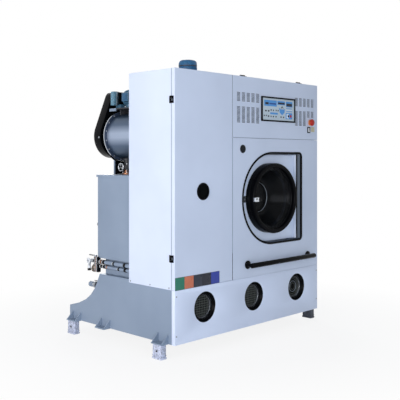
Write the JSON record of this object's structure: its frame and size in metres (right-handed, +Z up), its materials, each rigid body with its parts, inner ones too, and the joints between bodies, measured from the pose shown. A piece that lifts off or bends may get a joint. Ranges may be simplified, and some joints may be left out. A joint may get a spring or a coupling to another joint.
{
  "type": "dry cleaning machine",
  "caption": "Front-loading dry cleaning machine: sheet-steel cabinet on a solvent tank, with glazed loading door, turning cage, still, spin filter and drying fan.",
  "frame": {"origin": "on the floor, under the middle of the whole machine's bounding box", "axes": "+Z up, -Y out of the front with the loading door, +X to the right seen from the front"},
  "size_m": [1.714, 1.234, 2.025],
  "materials": {
    "white_paint": "semi-gloss light blue-white stove enamel",
    "grey_paint": "semi-gloss blue-grey enamel",
    "dark_paint": "satin dark grey enamel",
    "motor_blue": "gloss blue enamel",
    "black_plastic": "satin black moulding",
    "steel": "brushed stainless sheet and machined steel",
    "brass": "cast brass, partly painted",
    "cast_dark": "rough casting",
    "rubber": "black rubber",
    "window_glass": "toughened glass, dark behind",
    "display": "printed blue membrane in a black frame",
    "tiles": "plain coloured label tiles",
    "stop_red": "red mushroom head",
    "rocker_white": "white rocker"
  },
  "bodies": {
    "cabinet": {"solvent_tank": "grey_paint", "foot_front_left": "grey_paint", "foot_front_right": "grey_paint", "foot_rear_left": "grey_paint", "foot_rear_right": "grey_paint", "tank_window_left": "black_plastic", "tank_window_middle": "black_plastic", "tank_window_right": "black_plastic", "plinth_panel": "white_paint", "cabinet_frame": "grey_paint", "left_side_panel": "white_paint", "right_side_panel": "white_paint", "roof_panel": "white_paint", "front_panel": "white_paint", "door_trim": "black_plastic", "cable_bung": "black_plastic", "grab_rail": "black_plastic", "tub": "steel", "door_seal": "rubber", "bearing_housing": "dark_paint", "drive_belt": "rubber", "drive_motor": "motor_blue", "filter_shell": "steel", "filter_motor": "motor_blue", "filter_belt": "rubber", "belt_guard": "black_plastic", "still_box": "grey_paint", "still_door": "grey_paint", "feed_pipe": "grey_paint", "return_pipe": "grey_paint", "rear_valve": "brass", "strainer": "cast_dark", "filter_drain": "dark_paint", "fan_motor": "motor_blue", "air_duct": "steel", "electrical_plate": "grey_paint", "solvent_pump": "motor_blue"},
    "column_door_body": {"column_door": "white_paint", "column_glass_ring": "black_plastic", "column_glass": "window_glass", "tile_strip": "tiles"},
    "control_flap_body": {"control_flap": "white_paint", "display_panel": "display", "stop_base": "black_plastic", "switch_frame": "black_plastic"},
    "stop_button_body": {"stop_button": "stop_red"},
    "rocker_body": {"rocker_switch": "rocker_white"},
    "loading_door": {"door_leaf": "white_paint", "hinge_stile": "grey_paint", "door_ring": "black_plastic", "door_glass": "window_glass"},
    "latch": {"latch_lever": "steel"},
    "cage_body": {"cage": "steel", "cage_pulley": "steel"},
    "motor_pulley_body": {"motor_pulley": "steel"},
    "filter_pulley_body": {"filter_pulley": "steel"},
    "filter_motor_pulley_body": {"filter_motor_pulley": "steel"},
    "fan_body": {"fan_impeller": "steel"},
    "valve_handle_body": {"rear_valve_handle": "black_plastic"},
    "drain_wheel_body": {"drain_wheel": "steel"}
  },
  "joints": [
    {"name": "column_door_hinge", "type": "hinge", "parent": "cabinet", "child": "column_door_body", "pos_m": [-0.8025, -0.51, 1.172], "axis": [0, 0, -1], "range_deg": [0, 115]},
    {"name": "control_flap_hinge", "type": "hinge", "parent": "cabinet", "child": "control_flap_body", "pos_m": [0.2405, -0.51, 1.9025], "axis": [-1, 0, 0], "range_deg": [0, 80]},
    {"name": "stop_button_push", "type": "slide", "parent": "control_flap_body", "child": "stop_button_body", "axis": [0, 1, 0], "range_m": [0, 0.006]},
    {"name": "rocker_tilt", "type": "hinge", "parent": "control_flap_body", "child": "rocker_body", "pos_m": [0.676, -0.54, 1.534], "axis": [1, 0, 0], "range_deg": [0, 18]},
    {"name": "loading_door_hinge", "type": "hinge", "parent": "cabinet", "child": "loading_door", "pos_m": [0.555, -0.527, 1.011], "axis": [0, 0, 1], "range_deg": [0, 110]},
    {"name": "latch_turn", "type": "hinge", "parent": "loading_door", "child": "latch", "pos_m": [-0.017, -0.5813, 1.011], "axis": [0, -1, 0], "range_deg": [0, 90]},
    {"name": "cage_spin", "type": "hinge", "parent": "cabinet", "child": "cage_body", "pos_m": [0.21, 0.2, 1.011], "axis": [0, 1, 0], "continuous": true},
    {"name": "motor_pulley_spin", "type": "hinge", "parent": "cabinet", "child": "motor_pulley_body", "pos_m": [0.63, 0.26, 0.575], "axis": [0, 1, 0], "continuous": true},
    {"name": "filter_spin", "type": "hinge", "parent": "cabinet", "child": "filter_pulley_body", "pos_m": [-0.517, 0.4, 1.475], "axis": [0, 1, 0], "continuous": true},
    {"name": "filter_motor_spin", "type": "hinge", "parent": "cabinet", "child": "filter_motor_pulley_body", "pos_m": [-0.517, 0.4, 1.76], "axis": [0, 1, 0], "continuous": true},
    {"name": "fan_spin", "type": "hinge", "parent": "cabinet", "child": "fan_body", "pos_m": [-0.322, -0.18, 1.8], "axis": [0, 0, 1], "continuous": true},
    {"name": "rear_valve_turn", "type": "hinge", "parent": "cabinet", "child": "valve_handle_body", "pos_m": [-0.78, 0.316, 0.596], "axis": [0, 0, 1], "range_deg": [0, 90]},
    {"name": "drain_wheel_turn", "type": "hinge", "parent": "cabinet", "child": "drain_wheel_body", "pos_m": [-0.57, 0.272, 1.2423], "axis": [1, 0, 0], "range_deg": [0, 90]}
  ],
  "couplings": [
    {"joint": "motor_pulley_spin", "follows": "cage_spin", "ratio": 5},
    {"joint": "filter_motor_spin", "follows": "filter_spin", "ratio": 4.44}
  ]
}
